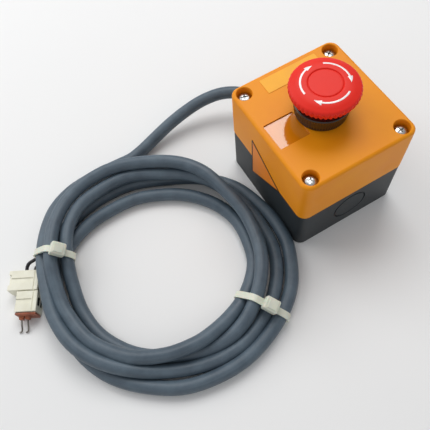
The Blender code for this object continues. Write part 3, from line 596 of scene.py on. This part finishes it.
# Paper phenolic: red-brown and smooth, with darker resin-rich patches
phenolic = moulded("brown_phenolic_board", "#a85a35", "#7e3b1f", 0.4, 0.5, 0.02, 4)
plate = rounded_box("connector_end_plate", Vector((-5.2, -15.0, 0.6)) * MM,
                    Vector((7.8, -13.7, 9.6)) * MM, 0.3 * MM, 2, [phenolic])
PIN_X = (-2.2, 1.8)
for x in PIN_X:
    foot = rounded_box("pin_foot", Vector((x - 1.4, -17.2, 3.6)) * MM,
                       Vector((x + 1.4, -14.6, 6.6)) * MM, 0.4 * MM, 2, [phenolic])
    carve(plate, foot, "UNION")
settled(plate, CONNECTOR_PLACE)
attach(plate, "enclosure")
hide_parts("connector_plate")


def plated_metal(name, colour, shade, rough):
    """A plated or drawn metal: thin brushed streaks and cloudy plating over a bright ground."""
    look, tree, shader, where = new_material(name)
    shader.inputs["Metallic"].default_value = 1
    cloud = add_node(tree, "ShaderNodeTexNoise", {"Scale": 280.0, "Detail": 3.0},
                     {"Vector": where.outputs["Object"]})
    # Streaks 0.5 mm wide and some 8 mm long
    long_way = add_node(tree, "ShaderNodeMapping", {"Scale": (2000.0, 120.0, 2000.0)},
                        {"Vector": where.outputs["Object"]})
    streaks = add_node(tree, "ShaderNodeTexNoise", {"Scale": 1.0, "Detail": 2.0},
                       {"Vector": long_way.outputs["Vector"]})
    tone = tone_ramp(tree, cloud.outputs["Fac"], (0.3, shade), (0.7, colour))
    tree.links.new(tone.outputs["Color"], shader.inputs["Base Color"])
    uneven = add_node(tree, "ShaderNodeMapRange", {"To Min": rough - 0.08, "To Max": rough + 0.1},
                      {"Value": streaks.outputs["Fac"]})
    tree.links.new(uneven.outputs["Result"], shader.inputs["Roughness"])
    bump = add_node(tree, "ShaderNodeBump", {"Strength": 0.2, "Distance": 0.02 * MM},
                    {"Height": streaks.outputs["Fac"]})
    tree.links.new(bump.outputs["Normal"], shader.inputs["Normal"])
    return look


# Tinned steel wire: grey and half bright
tinned_wire = plated_metal("tinned_steel_wire", "#9a958e", "#6d6762", 0.38)
for number, x in enumerate(PIN_X, 1):
    bend = ((x, -15.3, 5.2), (x, -17.4, 4.8), (x - 0.2, -19.8, 3.4), (x - 0.3, -22.2, 1.7),
            (x - 0.8, -23.4, 1.0), (x - 2.0, -23.9, 0.8))
    knots = [CONNECTOR_PLACE @ (Vector(p) * MM) for p in bend]
    pin = tube(f"pin_{number}", smooth_line(knots, 0.4 * MM), 0.5 * MM, 12, tinned_wire)
    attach(pin, "enclosure")
    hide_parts(f"connector_pin_{number}")

# ---- Cores -----------------------------------------------------------------------------------
# Two stranded cores in black PVC, 2.3 mm thick. They leave the cut end of the jacket and run in
# bends of their own to the wider housing.

# Black core PVC: smooth and half glossy
core_pvc = moulded("black_core_pvc", "#1c1b20", "#121216", 0.35, 0.6, 0.02)
CORE_ROUTES = (
    ((-181.4, 38.2, 7.4), (-184.0, 37.9, 7.6), (-188.5, 38.0, 7.6), (-192.6, 37.6, 7.0),
     (-194.9, 35.4, 6.2), (-195.6, 33.2, 6.0)),
    ((-181.8, 35.4, 4.2), (-185.7, 33.9, 4.6), (-188.2, 34.4, 4.8), (-190.2, 33.3, 4.8),
     (-191.05, 31.2, 4.8)),
)
for number, core_route in enumerate(CORE_ROUTES, 1):
    knots = [Vector(p) * MM for p in core_route]
    core = tube(f"core_{number}", smooth_line(knots, 0.6 * MM), 1.15 * MM, 14, core_pvc)
    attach(core, "enclosure")
    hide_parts(f"tail_core_{number}")

# ---- Base ------------------------------------------------------------------------------------
# The lower half of the enclosure, moulded in near-black glass-filled plastic with a fine spark
# texture. It has a round blank knockout in front, the cable's entry behind and four pillars.

CORNERS = ((-1, -1), (-1, 1), (1, -1), (1, 1))
# The lid screws' and the fixing holes' distances from the middle
SCREW_X, SCREW_Y = 30.3, 33.7
FIXING_X, FIXING_Y = 20, 29
# Height of the cable's entry and of the knockout
ENTRY_Z = 20


def upright_box(name, low, high, corner, corner_steps, top_round, top_steps, bottom_round, looks):
    """A box, in mm, with one round for its upright edges and others for its top and bottom."""
    low = Vector(low) * MM
    high = Vector(high) * MM
    bm = bmesh.new()
    bmesh.ops.create_cube(bm, size=1)
    bmesh.ops.scale(bm, vec=high - low, verts=bm.verts)
    bmesh.ops.translate(bm, vec=(high + low) / 2, verts=bm.verts)
    upright = [e for e in bm.edges if abs((e.verts[0].co - e.verts[1].co).z) > (high.z - low.z) / 2]
    bmesh.ops.bevel(bm, geom=upright, offset=corner * MM, segments=corner_steps, profile=0.5,
                    affect="EDGES", material=-1)
    for level, size, steps in ((high.z, top_round, top_steps), (low.z, bottom_round, 2)):
        if size:
            rim = [e for e in bm.edges if all(abs(v.co.z - level) < 1e-6 for v in e.verts)]
            bmesh.ops.bevel(bm, geom=rim, offset=size * MM, segments=steps, profile=0.5,
                            affect="EDGES", material=-1)
    return finished(name, bm, looks)


def revolved(name, outline, steps, looks, smooth_angle=35, at=(0, 0, 0), wave=None):
    """A solid of revolution about Z from (radius, height) in mm; wave changes its radius."""
    bm = bmesh.new()
    ring = [bm.verts.new((r * MM, 0, z * MM)) for r, z in outline]
    edges = [bm.edges.new(pair) for pair in zip(ring, ring[1:] + ring[:1])]
    bmesh.ops.spin(bm, geom=ring + edges, cent=(0, 0, 0), axis=(0, 0, 1), dvec=(0, 0, 0),
                   angle=2 * math.pi, steps=steps, use_merge=True, use_duplicate=False)
    bmesh.ops.remove_doubles(bm, verts=bm.verts, dist=1e-7)
    on_axis = [e for e in bm.edges if all(v.co.xy.length < 1e-8 for v in e.verts)]
    bmesh.ops.delete(bm, geom=on_axis, context="EDGES")
    if wave:
        for vertex in bm.verts:
            radius = vertex.co.xy.length
            if radius > 1e-6:
                change = wave(radius / MM, vertex.co.z / MM, math.atan2(vertex.co.y, vertex.co.x))
                vertex.co.xy *= 1 + change * MM / radius
    bmesh.ops.translate(bm, vec=Vector(at) * MM, verts=bm.verts)
    return finished(name, bm, looks, smooth_angle)


def cylinder(name, radius, bottom, top, steps, look, at=(0, 0, 0)):
    """An upright cylinder between two heights in mm."""
    return revolved(name, [(0, bottom), (radius, bottom), (radius, top), (0, top)], steps, [look],
                    at=at)


def seal_channel(look):
    """The ring of room that the seal takes up in the base and in the lid."""
    ring = upright_box("channel", (-36.6, -39.6, 34.7), (36.6, 39.6, 37.3), 5.1, 8, 0, 1, 0, [look])
    carve(ring, upright_box("channel_core", (-35.3, -38.3, 33), (35.3, 38.3, 39), 3.8, 8, 0, 1, 0,
                            [look]))
    return ring


# Near-black glass-filled plastic: matt, slightly blue, with a fine even texture
base_plastic = moulded("charcoal_spark_textured_plastic", "#2e3336", "#252a2d", 0.5, 0.55, 0.05,
                       sheen=0.35)
base = upright_box("base", (-37.2, -40.2, 0), (37.2, 40.2, 35.8), 5.7, 8, 0.25, 1, 0.5,
                   [base_plastic])
carve(base, upright_box("base_room", (-34.5, -37.5, 2.6), (34.5, 37.5, 45), 3, 6, 0, 1, 0,
                        [base_plastic]))
for sx, sy in CORNERS:
    spot = (sx * SCREW_X, sy * SCREW_Y, 0)
    carve(base, cylinder("pillar", 5, 1.3, 35.2, 32, base_plastic, spot), "UNION")
    carve(base, cylinder("pilot", 2.2, 22, 37, 20, base_plastic, spot))
    spot = (sx * FIXING_X, sy * FIXING_Y, 0)
    carve(base, cylinder("fixing", 2.2, -1, 3.6, 24, base_plastic, spot))
carve(base, seal_channel(base_plastic))
# The entry faces back and the knockout's groove faces front, both lying down
lying = Matrix.Translation((0, 0, ENTRY_Z * MM)) @ Matrix.Rotation(math.radians(90), 4, "X")
carve(base, settled(cylinder("entry", 10.2, -44, -36, 40, base_plastic), lying))
groove = revolved("knockout_groove", [(10.6, 39.3), (11.5, 39.3), (11.8, 41), (10.6, 41)], 64,
                  [base_plastic])
carve(base, settled(groove, lying))
eased(base, 35)
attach(base, "enclosure")
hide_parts("base_shell")

# ---- Lid -------------------------------------------------------------------------------------
# The upper half, moulded in yellow-orange plastic with rounded corners, four screw wells and a
# polished recess for a legend. Its four screws are zinc-plated and lie in the wells.

# Yellow-orange ABS: semi-gloss, even colour, a very fine texture and a few rubs
lid_plastic = moulded("signal_orange_abs", "#f29a0c", "#ec8f08", 0.46, 0.5, 0.02, 30, sheen=0.25)
# The recess floor and walls are left polished, so they mirror the head and the lamp
lid_polished = moulded("polished_orange_abs", "#d98310", "#d07b0c", 0.06, 3.0, 0.002, 30, 1.0)
lid = upright_box("lid", (-37.5, -40.5, 36.2), (37.5, 40.5, 71), 6, 8, 2, 5, 0.2,
                  [lid_plastic, lid_polished])
carve(lid, upright_box("lid_room", (-34.8, -37.8, 31), (34.8, 37.8, 68.3), 3.3, 6, 1, 2, 0,
                       [lid_plastic]))
# Each well has straight walls and a softly rounded mouth
well = [(0, 65.2), (4.65, 65.2), (4.65, 70.3), (4.85, 70.75), (5.2, 71.05), (5.5, 72), (0, 72)]
for sx, sy in CORNERS:
    spot = (sx * SCREW_X, sy * SCREW_Y, 0)
    carve(lid, cylinder("lid_pillar", 5.75, 36.8, 70, 40, lid_plastic, spot), "UNION")
    carve(lid, revolved("well", well, 48, [lid_plastic], at=spot))
    carve(lid, cylinder("lid_hole", 2.2, 33, 66, 20, lid_plastic, spot))
carve(lid, seal_channel(lid_plastic))
carve(lid, cylinder("panel_hole", 11.3, 65, 72, 48, lid_plastic))
recess = upright_box("recess", (-33.8, -10.4, 70.2), (-14.2, 8.0, 72), 0.8, 4, 0, 1, 0,
                     [lid_plastic, lid_polished])
for face in recess.data.polygons:
    face.material_index = 1
carve(lid, recess)
eased(lid, 35)
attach(lid, "enclosure")
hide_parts("lid_shell")

# Bright zinc plate: neutral grey, with cloudy plating and fine streaks
zinc_plate = plated_metal("bright_zinc_plate", "#d3d2cf", "#a9a9a9", 0.24)
THREAD_R = 1.85
THREAD_ROOT = 1.45
THREAD_PITCH = 1.6
# Point and thread, then shank and pan head
screw_outline = [(0, 24), (1.05, 24), (THREAD_R, 26)]
for k in range(14):
    z = 27 + THREAD_PITCH * k
    screw_outline += [(THREAD_R, z), (THREAD_ROOT, z + THREAD_PITCH / 2)]
screw_outline += [(THREAD_R, 50), (THREAD_R, 65.5), (3.8, 65.5), (3.85, 66.6), (3.75, 67.1),
                  (3.45, 67.5), (2.9, 67.8), (1.9, 68.02), (0.9, 68.1), (0, 68.12)]
for i, (sx, sy) in enumerate(CORNERS, 1):
    screw = revolved(f"screw_{i}", screw_outline, 36, [zinc_plate])
    # The cross recess: two straight arms and a hub that tapers down
    for a, b in ((2.15, 0.42), (0.42, 2.15)):
        arm = upright_box("arm", (-a, -b, 66.4), (a, b, 69), 0.15, 1, 0, 1, 0, [zinc_plate])
        carve(screw, arm)
    hub = revolved("hub", [(0, 66.2), (0.35, 66.2), (1.15, 68.6), (0, 68.6)], 12, [zinc_plate])
    carve(screw, hub)
    eased(screw, 35)
    # Each screw stopped at an angle of its own
    settled(screw, Matrix.Translation(Vector((sx * SCREW_X, sy * SCREW_Y, 0)) * MM)
            @ Matrix.Rotation(math.radians(20 + 25 * i), 4, "Z"))
    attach(screw, "enclosure")
    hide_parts(f"lid_screw_{i}")

# ---- Labels ----------------------------------------------------------------------------------
# Two blank stickers: a yellow film on the lid behind the head, and a black-edged orange triangle
# on the side, across the joint. Both are 0.2 mm film with rounded corners.

# Yellow vinyl film: paler than the lid, flat and satin
label_film = moulded("yellow_vinyl_film", "#fbb526", "#f5ab20", 0.45, 1.2, 0.01, 12, sheen=0.3)
label = upright_box("name_sticker", (-18.2, 25.8, 71.05), (20.7, 36.8, 71.25), 0.5, 3, 0.05, 1, 0,
                    [label_film])
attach(label, "enclosure")
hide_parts("name_label")

# Orange vinyl film: redder than the lid, flat and satin
triangle_fill = moulded("orange_vinyl_film", "#f08c26", "#e9821e", 0.45, 1.2, 0.01, 12, sheen=0.3)
# Screen ink: warm black, satin
border_ink = moulded("black_screen_ink", "#1d1a17", "#151311", 0.42, 0.8, 0.01, 12)
# The triangle's sides are 36 mm long and one corner points to -Y
TRIANGLE_Y, TRIANGLE_Z = 3.4, 36.5
TRIANGLE_R = 20.785
FILM = 0.2 * MM
BORDER = 1.0 * MM
bm = bmesh.new()
corners = []
for angle in (180, 300, 60):
    bearing = math.radians(angle)
    corners.append(bm.verts.new(Vector((-37.55, TRIANGLE_Y + TRIANGLE_R * math.cos(bearing),
                                        TRIANGLE_Z + TRIANGLE_R * math.sin(bearing))) * MM))
face = bm.faces.new(corners)
out = bmesh.ops.extrude_face_region(bm, geom=[face])
moved = [v for v in out["geom"] if isinstance(v, bmesh.types.BMVert)]
bmesh.ops.translate(bm, vec=(-FILM, 0, 0), verts=moved)
edges = [e for e in bm.edges if abs((e.verts[0].co - e.verts[1].co).x) > FILM / 2]
bmesh.ops.bevel(bm, geom=edges, offset=1.2 * MM, segments=4, profile=0.5,
                affect="EDGES", material=-1)
bmesh.ops.recalc_face_normals(bm, faces=bm.faces)
front = [f for f in bm.faces if f.normal.x < -0.9]
bmesh.ops.inset_region(bm, faces=front, thickness=BORDER, use_even_offset=True)
for face in front:
    face.material_index = 1
triangle = finished("triangle_sticker", bm, [border_ink, triangle_fill], 30)
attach(triangle, "enclosure")
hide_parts("triangle_label")

# ---- Collar ----------------------------------------------------------------------------------
# The bezel that clamps the button to the lid: black plastic, fine upright ribs round it for grip
# and a smooth glossy lip above them.

RIBS = 64
RIB_DEPTH = 0.22
RIB_FEET, RIB_TOPS = 72.5, 79.4


def ribbed(radius, height, angle):
    """The ribs, only on the outside of the bezel and below its lip."""
    if radius < 15 or not RIB_FEET < height < RIB_TOPS:
        return 0
    return RIB_DEPTH * math.cos(RIBS * angle)


# Black polyamide, glossy, so the lip takes up the red of the head; its warm brown tint is a painted
# reflection of the orange lid
collar_plastic = moulded("black_glossy_polyamide", "#2c211b", "#231a15", 0.2, 0.8, 0.01, 20, 0.3)
# Outside from the foot to the lip, then down the inside
collar_outline = [
    (14.9, 71.3), (15.25, 71.5), (15.3, 72.3), (15.2, 72.6), (15.45, 74.3), (15.75, 76.2),
    (16.0, 77.9), (16.15, 79.2), (16.45, 79.5), (16.6, 80.0), (16.6, 80.4), (16.4, 80.8),
    (16.0, 81.0), (13.6, 81.0), (13.4, 80.8), (13.4, 76.2), (12.2, 75.7), (12.2, 74.3),
    (13.6, 74.3), (13.6, 72.5), (14.5, 72.5), (14.5, 71.3),
]
bezel = revolved("bezel", collar_outline, RIBS * 6, [collar_plastic], 50, wave=ribbed)
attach(bezel, "enclosure")
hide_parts("collar")

# ---- Head ------------------------------------------------------------------------------------
# The red mushroom head: one semi-gloss moulding, lightly domed, with a ring groove round its
# middle disc and a scalloped rim. Three white arrows run clockwise on its top.

CROWN_Z = 94.03
SCALLOPS = 44
SCALLOP_DEPTH = 0.7
# The scallops fade out inside this radius and above this height
SCALLOP_R = 17.3
SCALLOP_TOP = 91.9


def dome(radius):
    """Height in mm of the head's top face at a radius, outside its groove."""
    over = max(0, radius - 10)
    return CROWN_Z - 0.0133 * over ** 2 - 0.00016 * over ** 4


def scalloped(radius, height, angle):
    """The grip round the rim: shallow valleys, narrower than the crests between them."""
    if radius < SCALLOP_R or height > SCALLOP_TOP:
        return 0
    share = min(1, (radius - SCALLOP_R) / 0.9) * min(1, (SCALLOP_TOP - height) / 1.9)
    valley = (0.5 - 0.5 * math.cos(SCALLOPS * angle)) ** 1.6
    return -SCALLOP_DEPTH * share * valley


# Red plastic: strong and even in colour, semi-gloss, nearly without grain
red_plastic = moulded("red_semi_gloss_plastic", "#ef2c1c", "#e62416", 0.46, 0.9, 0.008, sheen=0.25)
# The disc and its groove, the dome, the rim, then the hollow underside
head_outline = [(0, 93.96), (4, 93.96), (8.2, 93.94), (8.95, 93.92), (9.15, 93.84), (9.25, 93.5),
                (9.45, 93.4), (9.65, 93.5), (9.75, 93.84), (9.95, 93.98), (10.4, dome(10.4))]
head_outline += [(11 + k, dome(11 + k)) for k in range(8)]
head_outline += [(18.6, 92.35), (19.2, 91.95), (19.7, 91.35), (19.95, 90.6), (19.95, 89.9),
                 (19.75, 89.1), (19.35, 88.0), (18.9, 87.0), (18.5, 86.3), (18.2, 86.05),
                 (17.7, 86.0), (16.9, 86.0), (16.9, 89.0), (11.6, 89.6), (11.6, 79.9),
                 (9.8, 79.9), (9.8, 87.5), (4.1, 87.5), (4.1, 91.5), (0, 91.5)]
head = revolved("head", head_outline, SCALLOPS * 10, [red_plastic], 45, wave=scalloped)
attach(head, "cap")
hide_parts("mushroom_cap")

# White inlay: clean, slightly warm and glossier than the head
white_ink = moulded("white_printed_inlay", "#f4f0ee", "#efe9e7", 0.22, 0.8, 0.005, coat=0.4)
ARROW_R = 13.4
# Half widths of the shaft and of the arrow's barbs, in mm, and their lengths in degrees
SHAFT_HALF, SHAFT_SWEEP = 0.62, 75
BARB_HALF, BARB_SWEEP = 1.65, 18
# Round one section: its share of the half width, and 1 for the points sunk into the head
ARROW_SECTION = ((-1, 1), (-0.5, 0), (0, 0), (0.5, 0), (1, 0), (1, 1), (0.3, 1), (-0.3, 1))
for i, start in enumerate((61, -59, 181), 1):
    bm = bmesh.new()
    stations = [(start - SHAFT_SWEEP * k / 36, SHAFT_HALF) for k in range(37)]
    stations += [(start - SHAFT_SWEEP - 0.3 - BARB_SWEEP * k / 9, BARB_HALF * (1 - k / 9) + 0.06)
                 for k in range(10)]
    rows = []
    for angle, half in stations:
        bearing = math.radians(angle)
        row = []
        for share, sunk in ARROW_SECTION:
            radius = ARROW_R + half * share
            rise = -0.12 if sunk else 0.05 + 0.03 * (1 - abs(share))
            row.append(bm.verts.new(Vector((radius * math.cos(bearing), radius * math.sin(bearing),
                                            dome(radius) + rise)) * MM))
        rows.append(row)
    for a, b in zip(rows, rows[1:]):
        for k in range(len(ARROW_SECTION)):
            n = (k + 1) % len(ARROW_SECTION)
            bm.faces.new((a[k], a[n], b[n], b[k]))
    bm.faces.new(rows[0])
    bm.faces.new(rows[-1][::-1])
    arrow = finished(f"arrow_{i}", bm, [white_ink], 40)
    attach(arrow, "cap")
    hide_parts(f"release_arrow_{i}")

# ---- Springs ---------------------------------------------------------------------------------
# Three compression springs of drawn steel wire, with closed ends: one returns the plunger and one
# under each bridge holds its contacts shut.

# Drawn spring steel: bright grey with fine draw streaks
spring_wire = plated_metal("spring_steel_wire", "#9b9ea2", "#75787c", 0.28)
TURN_STEPS = 24
# Share of the height that the wire climbs evenly, besides the open turns
EVEN_CLIMB = 0.06
# Node, the joint that presses it, its turns, and the radius of its wire in mm
for node, joint, turns, wire in (
        ("return_spring", "head_press", 5, 0.42),
        ("contact_spring_1", "pusher_1_travel", 6, 0.3),
        ("contact_spring_2", "pusher_2_travel", 6, 0.3)):
    low, high = (Vector(corner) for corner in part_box(node))
    centre = (low + high) / 2
    coil_r = (high.x - low.x) / 2 - wire * MM
    height = high.z - low.z - 2 * wire * MM
    line = []
    for i in range(turns * TURN_STEPS + 1):
        share = i / (turns * TURN_STEPS)
        # The first and last turns lie closed
        rise = min(max((share * (turns + 0.6) - 0.8) / (turns - 1), 0), 1)
        bearing = 2 * math.pi * share * turns
        climbed = height * (EVEN_CLIMB * share + (1 - EVEN_CLIMB) * rise)
        line.append(Vector((centre.x + coil_r * math.cos(bearing),
                            centre.y + coil_r * math.sin(bearing), low.z + wire * MM + climbed)))
    spring = tube(node.replace("spring", "coil"), line, wire * MM, 10, spring_wire)
    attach(spring, "enclosure")
    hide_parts(node)
    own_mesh(spring)

# ---- Inner pieces ----------------------------------------------------------------------------
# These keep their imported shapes, and take materials of their own.

# Silvered brass: yellow metal with cloudy bright patches
contact_brass = plated_metal("silvered_brass", "#cfae62", "#a98a45", 0.3)
# Black polyamide: satin, fine grain, for the plunger, the barrel, the blocks and their carrier
nylon_black = moulded("black_polyamide", "#222327", "#1a1b1f", 0.4, 0.7, 0.02)
# Grey polyamide: satin, lighter than the blocks that it closes
cover_grey = moulded("grey_polyamide", "#4a4d52", "#404348", 0.42, 0.7, 0.02)
by_name = {
    "lid_gasket": seal_rubber, "collar_gasket": seal_rubber,
    "cap_stem": zinc_plate, "terminal_screw": zinc_plate,
    "contact_cover": cover_grey, "contact_bridge": contact_brass, "fixed_contact": contact_brass,
    "inner_core": core_pvc, "jacket_stub": cable.data.materials[0],
}
for name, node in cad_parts.items():
    if node.hide_render:
        continue
    look = next((look for start, look in by_name.items() if name.startswith(start)), nylon_black)
    node.data.materials.clear()
    node.data.materials.append(look)
